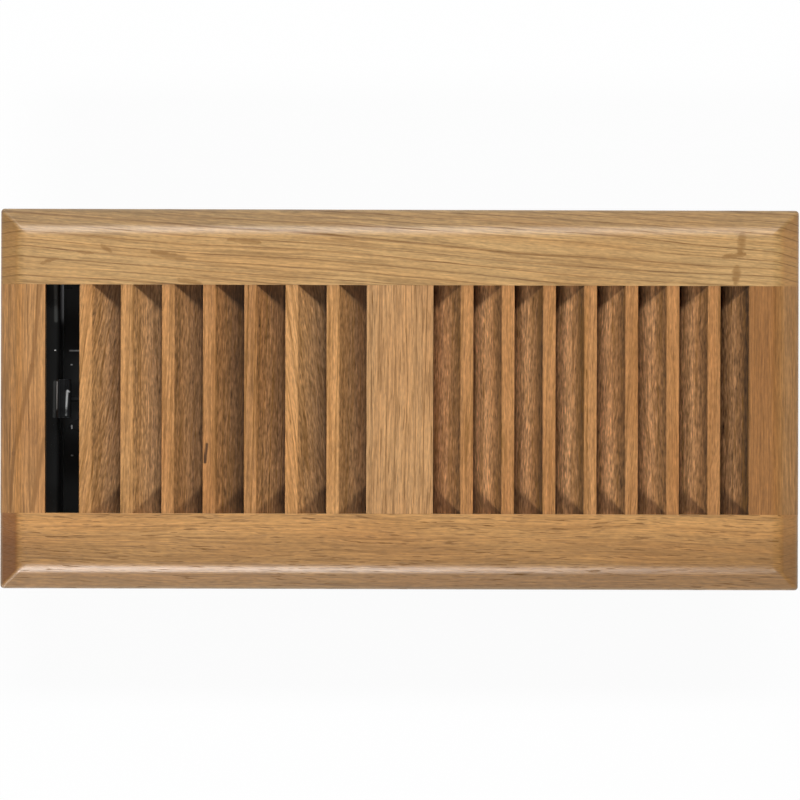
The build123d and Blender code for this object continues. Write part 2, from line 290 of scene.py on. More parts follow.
    # stains and tears, blotted along the fibres, then painted shade in the corners and low down, the end grain tinted
    # darker at the left ends and lighter at the right ends as painted shade and painted light, and a grey-brown mix low
    # on the outer edge as painted sheen and painted shade
    blot = (tree.noise(place, scale=look["blotScale"], detail=3.0, roughness=0.6) - 0.5) * look["blot"]
    soaked = tree.fade(fibres + blot * 0.2, -0.2, 0.12, 0.5, 0.95)
    marks = tree.strokes(x + blot, y - blot, look["marks"], look["pinch"]) * soaked
    wood = tree.mix(marks, wood, look["markColour"])
    wood = tree.mix(paintedCornerShade, wood, look["paintedShadeColour"])
    paintedEndShading = tree.mix(tree.fade(x, *oakZones["middle"]), *look["paintedEndLightAndShade"])
    wood = tree.mix(endGrain, wood, paintedEndShading, "MULTIPLY")
    wood = tree.mix(tree.fade(z, *oakZones["paintedEdgeSheenAndShade"], 0.0, look["paintedEdgeSheenAndShade"]), wood, look["paintedEdgeSheenAndShadeColour"])

    height = fibres * 0.5 - pores * 1.1 - early * 0.2 - hair * 0.4
    bump = tree.make("ShaderNodeBump", {},
                     {"Strength": look["bump"], "Distance": look["bumpDepth"], "Height": height})
    rough = pores * 0.2 + fibres * 0.2 + look["rough"] + sawn * look["sawnRough"]
    coat = look["coat"] * (threads * 1.2 - pores * 0.8 + 1.0)
    shader = tree.make("ShaderNodeBsdfPrincipled", {},
                       {"Base Color": wood, "Roughness": rough, "Normal": bump, "IOR": look["gloss"],
                        "Coat Weight": coat, "Coat Roughness": look["coatRough"],
                        "Coat IOR": look["coatGloss"]}, "BSDF")
    closeMaterial(tree, shader)
    return material


# sizes of the louvre slats, whose length the stiles share

bankSizes = {
    "slatTop": 4.9 * mm, "slatSpace": 10.15 * mm, "thickness": 12.7 * mm, "length": 83.6 * mm, "ease": 0.28 * mm,
    "easeSteps": 3, "merge": 0.001 * mm, "sharpFrom": radians(50), "count": 7,
}


# frame boards: bevelled and eased all round, recessed below for the tray's flanges

boardSizes = {
    "thickness": 12.7 * mm, "bevelWidth": 7.5 * mm, "bevelAngle": radians(40), "arris": 8.0 * mm, "edge": 1.2 * mm,
    "corner": 1.3 * mm, "ease": 0.16 * mm, "pocketDepth": 3.0 * mm, "pocketCorner": 4.0 * mm, "flangeGap": 0.5 * mm,
    "topEdges": 12.69 * mm, "upperEdges": 9.7 * mm, "easedFrom": radians(30), "sharpFrom": radians(35),
    "edgeSteps": 5, "arrisSteps": 12, "cornerSteps": 4, "pocketSteps": 6,
}
# per board; left ends are tinted darker and right ends lighter (painted shade and painted light), the ramp darkens the
# rails towards their outer bevels (painted shade), and the right stile's outer edge is paler (painted light)
boardLooks = {
    "back_rail": {"slant": 0.078, "slantFrom": -40.0, "streak": 0.95, "pith": (330.0, -60.0), "ring": 3.2, "waver": 3.0,
                  "earlyLow": 0.5, "poreBase": 0.12, "hair": 0.35, "fibre": 0.6, "thread": 0.8,
                  "ramp": (60.0, 63.5, 1.0, 0.82), "coat": 0.6, "coatRough": 0.33, "pinch": 0.6,
                  "paintedEndLightAndShade": ((1.04, 0.946, 0.777, 1.0), (1.19, 1.07, 0.97, 1.0)), "dark": (0.330, 0.162, 0.045, 1.0),
                  "marks": [(-117.9, 53.9, -112.0, 53.0, 0.8), (-108.9, 55.9, -105.9, 53.9, 1.3),
                            (-90.4, 53.6, -78.6, 51.4, 1.4), (-131.0, 49.4, -125.2, 51.3, 0.9),
                            (-63.0, 58.4, -51.0, 57.0, 1.2), (-81.0, 43.6, -73.0, 42.4, 1.1),
                            (125.2, 60.4, 124.2, 54.4, 2.3), (126.0, 53.5, 118.0, 52.4, 1.3),
                            (123.1, 48.6, 122.8, 43.0, 2.0)],
                  "pale": (0.620, 0.370, 0.145, 1.0), "warm": (0.540, 0.295, 0.104, 1.0)},
    "front_rail": {"slant": 0.02, "streak": 0.4, "pith": (-330.0, -120.0), "ring": 2.9, "shift": (700.0, 0.0, 9.0),
                   "fibre": 0.55, "thread": 0.7, "hairAcross": 0.7, "hair": 0.3,
                   "pore": 0.85, "poreBase": 0.9, "poreAlong": 0.12, "poreCut": 0.61,
                   "ramp": (-45.0, -56.0, 1.07, 0.76), "coat": 1.0, "coatRough": 0.28,
                   "paintedEndLightAndShade": ((0.70, 0.54, 0.40, 1.0), (1.06, 1.0, 0.93, 1.0)),
                   "paintedEdgeSheenAndShade": 0.45, "paintedEdgeSheenAndShadeColour": (0.44, 0.34, 0.23, 1.0),
                   "pale": (0.605, 0.310, 0.100, 1.0), "warm": (0.535, 0.252, 0.074, 1.0)},
    "left_stile": {"grain": "Y", "shift": (90.0, -136.0, 0.0), "pith": (160.0, -34.0), "ring": 3.8,
                   "streak": 0.4, "waver": 4.0, "coat": 0.6, "blot": 0.5, "markColour": (0.30, 0.125, 0.025, 1.0),
                   "marks": [(-131.4, 41.5, -134.2, 12.0, 1.0), (-134.2, 12.0, -141.0, -20.0, 1.1),
                             (-141.0, -20.0, -142.5, -41.0, 0.9), (-129.8, -15.0, -134.1, -40.5, 1.2)],
                   "pale": (0.588, 0.281, 0.087, 1.0), "warm": (0.502, 0.222, 0.064, 1.0)},
    "right_stile": {"grain": "Y", "shift": (410.0, 136.0, 0.0), "pith": (-140.0, -30.0), "ring": 1.6, "streak": 0.3,
                    "waver": 2.0, "poreBase": 0.35, "pore": 0.4, "fibre": 0.7, "hair": 0.2, "band": 0.3,
                    "paintedLightEdge": (-0.5, -5.0, 0.0, 0.85), "coat": 0.45,
                    "pale": (0.378, 0.158, 0.040, 1.0), "warm": (0.342, 0.136, 0.031, 1.0)},
    "centre_mullion": {"grain": "Y", "shift": (-250.0, 0.0, 0.0), "pith": (-190.0, -25.0), "ring": 3.1, "streak": 0.8,
                       "waver": 3.0, "slant": 0.01, "earlyWidth": 0.14, "hair": 0.35, "fibre": 0.6, "coat": 0.6,
                       "pore": 0.8, "poreBase": 0.7, "poreAlong": 0.09, "poreAcross": 2.5, "poreCut": 0.58,
                       "pale": (0.630, 0.332, 0.127, 1.0), "warm": (0.546, 0.264, 0.092, 1.0)},
}


def arc(centre, radius, fromAngle, toAngle, steps):
    angles = [fromAngle + (toAngle - fromAngle) * i / steps for i in range(steps + 1)]
    return [(centre[0] + radius * cos(a), centre[1] + radius * sin(a)) for a in angles]


def edgeProfile(size):
    # inset and height, from the floor up the side, over the bevel and the arris to the flat
    top, slope = size["thickness"], size["bevelAngle"]
    shoulder = top - size["bevelWidth"] * tan(slope)
    edgeReach = size["edge"] * tan((pi / 2 - slope) / 2)
    arrisReach = size["arris"] * tan(slope / 2)
    points = [(0.0, 0.0)]
    points += arc((size["edge"], shoulder - edgeReach), size["edge"], pi, pi / 2 + slope, size["edgeSteps"])
    points += arc((size["bevelWidth"] + arrisReach, top - size["arris"]), size["arris"], pi / 2 + slope, pi / 2,
                  size["arrisSteps"])
    return points


def bakePiece(piece):
    # plain mesh of what the modifiers give, with the modifiers gone
    depsgraph = bpy.context.evaluated_depsgraph_get()
    mesh = bpy.data.meshes.new_from_object(piece.evaluated_get(depsgraph), depsgraph=depsgraph)
    mesh.name = piece.name
    piece.modifiers.clear()
    piece.data = mesh


def smoothFaces(piece, sharpAngle):
    for face in piece.data.polygons:
        face.use_smooth = True
    piece.data.set_sharp_from_angle(angle=sharpAngle)


def evenShading(piece, sharpAngle):
    smoothFaces(piece, sharpAngle)
    piece.modifiers.new("evenShading", "WEIGHTED_NORMAL").keep_sharp = True
    bakePiece(piece)


def mountPiece(piece, body, slot, *replaced):
    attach(piece, body)
    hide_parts(*replaced)


def meshPiece(name, bm, sharpAngle):
    mesh = bpy.data.meshes.new(name)
    bm.to_mesh(mesh)
    bm.free()
    piece = addObject(name, mesh)
    evenShading(piece, sharpAngle)
    return piece


def finishBoard(piece, nodeName):
    mountPiece(piece, "register_frame", "oak_frame", nodeName)
    piece.data.materials.append(oakMaterial(piece.name, {**oakBase, **boardLooks[nodeName]}))


def easeEdges(bm, width, wanted, segments=2):
    edges = [e for e in bm.edges if e.is_manifold and e.calc_face_angle() > boardSizes["easedFrom"] and wanted(e)]
    bmesh.ops.bevel(bm, geom=edges, offset=width, segments=segments, profile=0.5, affect="EDGES", clamp_overlap=True)


def easedBoard(bm, nodeName, size):
    # the flat's edges eased, then the board as a piece with its own oak
    easeEdges(bm, size["ease"], lambda e: min(v.co.z for v in e.verts) > size["topEdges"])
    bmesh.ops.recalc_face_normals(bm, faces=bm.faces)
    finishBoard(meshPiece("oak_" + nodeName, bm, size["sharpFrom"]), nodeName)


def railBoard(nodeName, size, pocket):
    low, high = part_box(nodeName)
    side = 1 if low.y + high.y > 0 else -1
    inner, outer = (low.y, high.y) if side > 0 else (-high.y, -low.y)
    pocketLeft, pocketRight, pocketOuter = pocket
    bm = bmesh.new()
    loops = []
    for inset, z in edgeProfile(size):
        left, right, back = low.x + inset, high.x - inset, outer - inset
        r, steps = size["corner"], size["cornerSteps"]
        plan = [(right, inner)] + arc((right - r, back - r), r, 0.0, pi / 2, steps)
        plan += arc((left + r, back - r), r, pi / 2, pi, steps) + [(left, inner)]
        loops.append([bm.verts.new((x, side * y, z)) for x, y in plan])
    for below, above in zip(loops, loops[1:]):
        for i in range(len(below) - 1):
            bm.faces.new((below[i], below[i + 1], above[i + 1], above[i]))
        if below is not loops[0]:
            bm.faces.new((below[-1], below[0], above[0], above[-1]))
    bm.faces.new(loops[-1])
    # recess for the flange, open to the louvres
    r, depth, steps = size["pocketCorner"], size["pocketDepth"], size["pocketSteps"]
    recess = [(pocketRight, inner)] + arc((pocketRight - r, pocketOuter - r), r, 0.0, pi / 2, steps)
    recess += arc((pocketLeft + r, pocketOuter - r), r, pi / 2, pi, steps) + [(pocketLeft, inner)]
    rim = [bm.verts.new((x, side * y, 0.0)) for x, y in recess]
    roof = [bm.verts.new((x, side * y, depth)) for x, y in recess]
    for i in range(len(rim) - 1):
        bm.faces.new((rim[i], rim[i + 1], roof[i + 1], roof[i]))
    bm.faces.new(roof)
    bm.faces.new(loops[0] + rim[::-1])
    bm.faces.new((loops[0][-1], rim[-1], roof[-1], roof[0], rim[0], loops[0][0], loops[1][0], loops[1][-1]))
    easedBoard(bm, nodeName, size)


def stileBoard(nodeName, size, pocket):
    low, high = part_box(nodeName)
    side = 1 if low.x + high.x > 0 else -1
    inner, outer = (low.x, high.x) if side > 0 else (-high.x, -low.x)
    half = bankSizes["length"] / 2
    recess = pocket[1] if side > 0 else -pocket[0]
    section = [(outer - inset, z) for inset, z in edgeProfile(size)]
    section += [(inner, size["thickness"]), (inner, size["pocketDepth"]), (recess, size["pocketDepth"]), (recess, 0.0)]
    bm = bmesh.new()
    ends = [[bm.verts.new((side * x, y, z)) for x, z in section] for y in (-half, half)]
    for i in range(len(section)):
        j = (i + 1) % len(section)
        bm.faces.new((ends[0][i], ends[0][j], ends[1][j], ends[1][i]))
    bm.faces.new(ends[0])
    bm.faces.new(ends[1])
    easedBoard(bm, nodeName, size)


copySizes = {"merge": 0.002 * mm, "flat": radians(0.4), "sharpFrom": radians(40)}


def easedCopy(nodeName, pieceName, width, aboveZ, segments=2):
    # the solid's own mesh, merged, with its upper edges eased
    bm = bmesh.new()
    bm.from_mesh(nodes[nodeName].data)
    bmesh.ops.remove_doubles(bm, verts=bm.verts, dist=copySizes["merge"])
    bmesh.ops.dissolve_limit(bm, angle_limit=copySizes["flat"], verts=bm.verts, edges=bm.edges)
    easeEdges(bm, width, lambda e: e.is_convex and (e.verts[0].co.z + e.verts[1].co.z) / 2 > aboveZ, segments)
    return meshPiece(pieceName, bm, copySizes["sharpFrom"])


trayLow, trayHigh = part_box("damper_tray")
flangeGap = boardSizes["flangeGap"]
pocketPlan = (trayLow.x - flangeGap, trayHigh.x + flangeGap, trayHigh.y + flangeGap)
for railName in ("back_rail", "front_rail"):
    railBoard(railName, boardSizes, pocketPlan)
for stileName in ("left_stile", "right_stile"):
    stileBoard(stileName, boardSizes, pocketPlan)
mullion = easedCopy("centre_mullion", "oak_centre_mullion", boardSizes["ease"], boardSizes["upperEdges"])
finishBoard(mullion, "centre_mullion")
print("frame boards bevelled and grained")


# louvre banks: one slat section, filled, drawn out along Y and repeated along X

# each slat's own tone, slant and streak, from the lever to the far end
slatLooks = {
    "left": [(0.09, 0.16, 0.5), (0.08, 0.02, 0.3), (0.0, 0.03, 0.4), (-0.08, 0.02, 0.3), (-0.12, 0.03, 1.0),
             (0.19, -0.14, 0.45), (0.17, 0.01, 0.25)],
    "right": [(-0.05, 0.02, 0.35), (-0.04, -0.02, 0.35), (-0.03, 0.03, 0.4), (-0.05, 0.01, 0.3), (-0.06, 0.02, 0.35),
              (-0.06, -0.03, 0.35), (-0.09, 0.02, 0.35)],
    "closing": [(-0.35, 0.01, 0.3)],
}
# per slat: how much its sawn faces are painted darker than its top (painted shade), how far that swings from darker
# just under the top edge to lighter low down (painted shade and painted light), and how yellow it is
paintedSlatShadesAndYellows = {
    "left": [(0.20, 0.065, 1.0), (0.11, 0.14, 1.0), (0.335, 0.12, 0.2), (0.36, -0.07, 0.0), (0.225, 0.08, 0.0),
             (0.31, 0.0, 0.8), (0.50, -0.03, 1.0)],
    "right": [(0.325, 0.31, 0.0), (0.14, 0.51, 0.0), (0.30, 0.50, 0.0), (0.25, 0.50, 0.0), (0.195, 0.485, 0.0),
              (0.20, 0.435, 0.0), (0.225, 0.49, 0.0)],
    "closing": [(0.31, 0.535, 0.0)],
}
slatWood = {
    "grain": "Y", "pith": (-400.0, -35.0), "ring": 2.6, "waver": 5.0, "earlyWidth": 0.16,
    "slatAlong": 331.0, "slatDown": 57.0,
    "poreAlong": 0.11, "poreAcross": 2.5, "poreBase": 0.55, "poreCut": 0.57,
    "speck": 0.9, "gloss": 1.4, "rough": 0.45, "paintedEdgeSheenAndShade": 0.0,
    "marks": [(-70.4, -16.6, -71.1, -23.0, 0.8)], "markColour": (0.050, 0.024, 0.012, 1.0), "blot": 0.4,
    "pale": (0.600, 0.285, 0.104, 1.0), "warm": (0.505, 0.220, 0.073, 1.0),
}


def geometryTree(name, kinds):
    # node group with a named input for each kind and one geometry output
    group = bpy.data.node_groups.new(name, "GeometryNodeTree")
    for label, kind in kinds.items():
        group.interface.new_socket(name=label, in_out="INPUT", socket_type="NodeSocket" + kind)
    group.interface.new_socket(name="Geometry", in_out="OUTPUT", socket_type="NodeSocketGeometry")
    tree = NodeMaker(group)
    return group, tree, {label: tree.make("NodeGroupInput", {}, {}, label) for label in kinds}


def closeGeometry(tree, instances, material):
    realized = tree.make("GeometryNodeRealizeInstances", {}, {"Geometry": instances})
    painted = tree.make("GeometryNodeSetMaterial", {}, {"Geometry": realized, "Material": material})
    tree.make("NodeGroupOutput", {}, {"Geometry": painted})


def grownPiece(name, group, values):
    # a piece whose mesh comes from a node group, baked
    piece = addObject(name, bpy.data.meshes.new(name))
    modifier = piece.modifiers.new(group.name, "NODES")
    modifier.node_group = group
    for item in group.interface.items_tree:
        if item.in_out == "INPUT":
            modifier[item.identifier] = values[item.name]
    bakePiece(piece)
    return piece


def louvreTree():
    group, tree, size = geometryTree("louvreBank", {
        "First X": "Float", "Pitch": "Float", "Top": "Float", "Run": "Float", "Thickness": "Float",
        "Length": "Float", "Ease": "Float", "Count": "Int", "Material": "Material"})
    top, run, thickness = size["Top"], size["Run"], size["Thickness"]
    corners = {"Point 1": tree.vector(0.0, thickness, 0.0), "Point 2": tree.vector(top, thickness, 0.0),
               "Point 3": tree.vector(top + run, 0.0, 0.0), "Point 4": tree.vector(run, 0.0, 0.0)}
    section = tree.make("GeometryNodeCurvePrimitiveQuadrilateral", {"mode": "POINTS"}, corners)
    section = tree.make("GeometryNodeFilletCurve", {"mode": "POLY"},
                        {"Curve": section, "Count": bankSizes["easeSteps"], "Radius": size["Ease"],
                         "Limit Radius": True})
    endFace = tree.make("GeometryNodeFillCurve", {"mode": "NGONS"}, {"Curve": section})
    drawn = tree.make("GeometryNodeExtrudeMesh", {"mode": "FACES"},
                      {"Mesh": endFace, "Offset": tree.vector(0.0, 0.0, 1.0), "Offset Scale": size["Length"],
                       "Individual": False})
    otherEnd = tree.make("GeometryNodeFlipFaces", {}, {"Mesh": endFace})
    joined = tree.make("GeometryNodeJoinGeometry")
    for part in (drawn, otherEnd):
        group.links.new(part.socket, joined.socket.node.inputs[0])
    slat = tree.make("GeometryNodeMergeByDistance", {}, {"Geometry": joined, "Distance": bankSizes["merge"]})
    slat = tree.make("GeometryNodeTransform", {}, {"Geometry": slat, "Rotation": (radians(90), 0.0, 0.0),
                                                   "Translation": tree.vector(0.0, size["Length"] * 0.5, 0.0)})
    row = tree.make("GeometryNodeMeshLine", {"mode": "OFFSET"},
                    {"Count": size["Count"], "Start Location": tree.vector(size["First X"], 0.0, 0.0),
                     "Offset": tree.vector(size["Pitch"], 0.0, 0.0)})
    bank = tree.make("GeometryNodeInstanceOnPoints", {}, {"Points": row, "Instance": slat})
    bank = tree.make("GeometryNodeStoreNamedAttribute", {"data_type": "FLOAT", "domain": "INSTANCE"},
                     {"Geometry": bank, "Name": "slatNumber", "Value": tree.make("GeometryNodeInputIndex")})
    closeGeometry(tree, bank, size["Material"])
    return group


def giveLooks(mesh, bankName, firstNumber):
    # slat number and look, with its painted shade and yellow, on every vertex, for the grain to follow
    for label, kind in (("slatNumber", "FLOAT"), ("slatLook", "FLOAT_VECTOR"), ("slatHeart", "FLOAT_VECTOR")):
        if label not in mesh.attributes:
            mesh.attributes.new(label, kind, "POINT")
    numbers, shown, paintedShadeAndYellow = [mesh.attributes[label] for label in ("slatNumber", "slatLook", "slatHeart")]
    for i in range(len(mesh.vertices)):
        own = int(round(numbers.data[i].value))
        shown.data[i].vector = slatLooks[bankName][own]
        paintedShadeAndYellow.data[i].vector = paintedSlatShadesAndYellows[bankName][own]
        numbers.data[i].value = own + firstNumber


def louvreBank(bankName, tree, firstX, run, firstNumber, material):
    values = {"First X": firstX, "Pitch": bankSizes["slatTop"] + bankSizes["slatSpace"], "Top": bankSizes["slatTop"],
              "Run": run, "Thickness": bankSizes["thickness"], "Length": bankSizes["length"],
              "Ease": bankSizes["ease"], "Count": bankSizes["count"], "Material": material}
    bank = grownPiece(bankName + "_louvres", tree, values)
    giveLooks(bank.data, bankName, firstNumber)
    evenShading(bank, bankSizes["sharpFrom"])
    mountPiece(bank, "register_frame", "oak_slat", *[f"{bankName}_slat_{i + 1}" for i in range(bankSizes["count"])])


slatOak = oakMaterial("oak_slats", {**oakBase, **slatWood}, perSlat=True)
bankTree = louvreTree()
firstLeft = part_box("left_slat_1")[0].x
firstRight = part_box("right_slat_1")[1].x - bankSizes["slatTop"]
louvreBank("left", bankTree, firstLeft, bankSizes["thickness"], 0, slatOak)
louvreBank("right", bankTree, firstRight, -bankSizes["thickness"], bankSizes["count"], slatOak)
closing = easedCopy("right_slat_8", "closing_slat", boardSizes["ease"], boardSizes["upperEdges"])
closing.data.materials.append(slatOak)
giveLooks(closing.data, "closing", 2 * bankSizes["count"])
mountPiece(closing, "register_frame", "oak_slat", "right_slat_8")
print("louvre banks made")


# black enamelled sheet of the tray, blades and link, with dust, painted glint streaks and pale spots

enamelLook = {
    "colour": (0.0080, 0.0080, 0.0078, 1.0), "rough": 0.22, "dust": (0.06, 0.057, 0.052, 1.0), "dustScale": 1500.0,
    "cloudScale": 60.0, "peelScale": 900.0, "peel": 0.12, "peelDepth": 0.05 * mm,
    # the streak colour on its lines is a painted glint on the flange
    "streak": (0.05, 0.05, 0.048, 1.0),
    "paintedGlintStreaks": [(-126.2, 42.0, -126.0, 28.6, 0.9), (-126.4, 6.0, -126.6, -6.5, 0.7)],
    # pale spots at given places on the enamel
    "paleSpotColour": (0.75, 0.74, 0.72, 1.0),
    "paleSpots": [(-126.4, 17.7, -126.1, 17.7, 0.25), (-121.7, 17.7, -117.6, 17.7, 0.4), (-121.2, 12.5, -120.9, 12.5, 0.35),
              (-120.9, -10.0, -120.9, -11.0, 0.4), (-121.0, -21.0, -120.6, -21.0, 0.4)],
}
# the blades' black is lighter than the tray's: painted light in the dark below the louvres
bladePaintedLightLook = {**enamelLook, "colour": (0.030, 0.030, 0.0295, 1.0)}


def enamelMaterial(name, look):
    material, tree = newMaterial(name)
    place = tree.place()
    cloud = tree.noise(place, scale=look["cloudScale"], detail=3.0)
    peel = tree.noise(place, scale=look["peelScale"], detail=2.0)
    specks = tree.fade(tree.noise(place, scale=look["dustScale"], detail=1.0), 0.74, 0.80)
    x, y = tree.inMm(place)[:2]
    colour = tree.mix(specks * tree.fade(cloud, 0.45, 0.6), look["colour"], look["dust"])
    # painted glint streaks, then pale spots at given places
    colour = tree.mix(tree.strokes(x, y, look["paintedGlintStreaks"]), colour, look["streak"])
    colour = tree.mix(tree.strokes(x, y, look["paleSpots"]), colour, look["paleSpotColour"])
    rough = cloud * 0.14 + specks * 0.3 + look["rough"]
    bump = tree.make("ShaderNodeBump", {}, {"Strength": look["peel"], "Distance": look["peelDepth"], "Height": peel})
    shader = tree.make("ShaderNodeBsdfPrincipled", {},
                       {"Base Color": colour, "Roughness": rough, "Normal": bump}, "BSDF")
    closeMaterial(tree, shader)
    return material


trayEnamel = enamelMaterial("black_enamel", enamelLook)
bladePaintedLightEnamel = enamelMaterial("blade_enamel", bladePaintedLightLook)
sheetEnamels = {"damper_tray": trayEnamel, "link_bar": bladePaintedLightEnamel}
sheetEnamels.update({f"damper_blade_{i}": bladePaintedLightEnamel for i in range(1, 9)})
for nodeName, enamel in sheetEnamels.items():
    nodes[nodeName].data.materials.clear()
    nodes[nodeName].data.materials.append(enamel)
print("sheet metal enamelled")


# thumb knob

knobLook = {
    "colour": (0.006, 0.006, 0.006, 1.0), "paler": (0.012, 0.012, 0.0125, 1.0), "rough": 0.14, "wearScale": 300.0,
    "mouldScale": 1200.0, "mould": 0.1, "mouldDepth": 0.04 * mm, "paintedGlintColour": (0.42, 0.41, 0.40, 1.0),
    # pale lines along the knob's edges are painted glints
    "paintedGlintLines": [(-125.6, 6.0, -125.8, -4.0, 0.6), (-121.6, 2.6, -122.0, -6.0, 0.5), (-120.9, 2.6, -121.5, 2.9, 0.5)],
    "ease": 0.35 * mm, "easeAbove": 3.0 * mm, "easeSteps": 3,
}


def plasticMaterial(name, look):
    material, tree = newMaterial(name)
    place = tree.place()
    moulding = tree.noise(place, scale=look["mouldScale"], detail=2.0)
    wear = tree.noise(place, scale=look["wearScale"], detail=3.0)
    bump = tree.make("ShaderNodeBump", {},
                     {"Strength": look["mould"], "Distance": look["mouldDepth"], "Height": moulding})
    colour = tree.mix(wear, look["colour"], look["paler"])
    x, y = tree.inMm(place)[:2]
    # pale lines along the knob's edges: painted glints
    paintedGlints = tree.strokes(x, y, look["paintedGlintLines"]) * tree.fade(wear, 0.3, 0.55)
    colour = tree.mix(paintedGlints, colour, look["paintedGlintColour"])
    shader = tree.make("ShaderNodeBsdfPrincipled", {},
                       {"Base Color": colour, "Roughness": wear * 0.16 + look["rough"], "Normal": bump}, "BSDF")
    closeMaterial(tree, shader)
    return material


knob = easedCopy("thumb_knob", "finger_knob", knobLook["ease"], knobLook["easeAbove"], knobLook["easeSteps"])
knob.data.materials.append(plasticMaterial("moulded_plastic", knobLook))
mountPiece(knob, "link", "black_plastic", "thumb_knob")
print("knob moulded")


# tray screws: one cross-recessed screw, repeated on its four places

screwSizes = {
    "head": 2.9 * mm, "height": 1.6 * mm, "crown": 0.54 * mm, "shank": 1.5 * mm, "length": 8.0 * mm, "point": 2.0 * mm,
    "crownSteps": [(0.22 * mm, 0.16 * mm), (0.04 * mm, 0.42 * mm), (0.0, 0.8 * mm)],
    "cross": 1.75 * mm, "crossArm": 0.42 * mm, "crossDepth": 0.85 * mm, "crossTaper": 0.72, "sides": 32,
    "sharpFrom": radians(35), "seed": 7,
}
zincLook = {"pale": (0.62, 0.62, 0.60, 1.0), "dull": (0.50, 0.50, 0.47, 1.0), "rough": 0.2, "cloudScale": 500.0}


def screwMesh(size):
    bm = bmesh.new()
    sides, head, bottom = size["sides"], size["head"], -size["height"]
    profile = [(head - size["crown"], bottom)]
    profile += [(head - inset, bottom + rise) for inset, rise in size["crownSteps"]]
    profile += [(head, 0.0), (size["shank"], 0.0), (size["shank"], size["length"] - size["point"])]
    loops = []
    for radius, z in profile:
        loops.append([bm.verts.new((radius * cos(2 * pi * i / sides), radius * sin(2 * pi * i / sides), z))
                      for i in range(sides)])
    for lower, upper in zip(loops, loops[1:]):
        for i in range(sides):
            j = (i + 1) % sides
            bm.faces.new((lower[i], lower[j], upper[j], upper[i]))
    tip = bm.verts.new((0.0, 0.0, size["length"]))
    for i in range(sides):
        bm.faces.new((loops[-1][i], loops[-1][(i + 1) % sides], tip))
    # cross recess in the flat of the head
    a, r = size["crossArm"], size["cross"]
    plan = [(a, a), (a, r), (-a, r), (-a, a), (-r, a), (-r, -a),
            (-a, -a), (-a, -r), (a, -r), (a, -a), (r, -a), (r, a)]
    count, taper = len(plan), size["crossTaper"]
    rim = [bm.verts.new((x, y, bottom)) for x, y in plan]
    floor = [bm.verts.new((x * taper, y * taper, bottom + size["crossDepth"])) for x, y in plan]
    rimEdges = [bm.edges.new((rim[i], rim[(i + 1) % count])) for i in range(count)]
    headEdges = [bm.edges.get((loops[0][i], loops[0][(i + 1) % sides])) for i in range(sides)]
    bmesh.ops.triangle_fill(bm, use_beauty=True, use_dissolve=False, edges=rimEdges + headEdges)
    for i in range(count):
        j = (i + 1) % count
        bm.faces.new((rim[i], rim[j], floor[j], floor[i]))
    bm.faces.new(floor)
    bmesh.ops.recalc_face_normals(bm, faces=bm.faces)
    mesh = bpy.data.meshes.new("screw")
    bm.to_mesh(mesh)
    bm.free()
    return mesh


def screwTree():
    group, tree, size = geometryTree("screwSet", {
        "Screw": "Object", "Middle X": "Float", "Half length": "Float", "Half width": "Float", "Seat": "Float",
        "Seed": "Int", "Material": "Material"})
    grid = tree.make("GeometryNodeMeshGrid", {}, {"Size X": size["Half length"] * 2.0,
                                                  "Size Y": size["Half width"] * 2.0, "Vertices X": 2, "Vertices Y": 2})
    grid = tree.make("GeometryNodeTransform", {}, {"Geometry": grid,
                                                   "Translation": tree.vector(size["Middle X"], 0.0, size["Seat"])})
    screw = tree.make("GeometryNodeObjectInfo", {}, {"Object": size["Screw"]}, "Geometry")
    angle = tree.make("FunctionNodeRandomValue", {"data_type": "FLOAT"}, {"Max": 2 * pi, "Seed": size["Seed"]}, 1)
    screws = tree.make("GeometryNodeInstanceOnPoints", {}, {"Points": grid, "Instance": screw,
                                                            "Rotation": tree.vector(0.0, 0.0, angle)})
    closeGeometry(tree, screws, size["Material"])
    return group


def zincMaterial(name, look):
    material, tree = newMaterial(name)
    cloud = tree.noise(tree.place(), scale=look["cloudScale"], detail=3.0)
    shader = tree.make("ShaderNodeBsdfPrincipled", {}, {
        "Base Color": tree.mix(cloud, look["pale"], look["dull"]), "Metallic": 1.0,
        "Roughness": cloud * 0.25 + look["rough"]}, "BSDF")
    closeMaterial(tree, shader)
    return material


screwLow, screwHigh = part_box("tray_screws")
screwSource = addObject("screwSource", screwMesh(screwSizes))
screwSet = grownPiece("cross_screws", screwTree(), {
    "Screw": screwSource, "Middle X": (screwLow.x + screwHigh.x) / 2,
    "Half length": (screwHigh.x - screwLow.x) / 2 - screwSizes["head"],
    "Half width": (screwHigh.y - screwLow.y) / 2 - screwSizes["head"],
    "Seat": screwLow.z + screwSizes["height"], "Seed": screwSizes["seed"],
    "Material": zincMaterial("zinc_plate", zincLook)})
smoothFaces(screwSet, screwSizes["sharpFrom"])
bpy.data.objects.remove(screwSource)
mountPiece(screwSet, "register_frame", "zinc_steel", "tray_screws")
print("screws set")


# pale floor, a dark sheet of painted shade under the tray, soft light and camera

floorLook = {
    "half": 4.0, "tone": (0.98, 0.98, 0.98, 1.0), "cloud": (0.94, 0.94, 0.94, 1.0), "cloudScale": 9.0,
    "bounce": (0.3, 0.3, 0.3, 1.0), "shadow": 0.06,
}
# the dark sheet of painted shade under the tray, with its faint painted glow and a brighter painted glow at one corner
paintedShadeSheetLook = {
    "inset": 8.9 * mm, "lift": 0.1 * mm, "tone": (0.02, 0.02, 0.02, 1.0), "rough": 0.9,
    "dim": (0.005, 0.005, 0.005, 1.0),
    "paintedGlow": (0.18, 0.18, 0.18, 1.0), "paintedGlowX": (-0.1215, -0.1225), "paintedGlowY": (0.027, 0.031),
}
plainWhite = (1.0, 1.0, 1.0, 1.0)


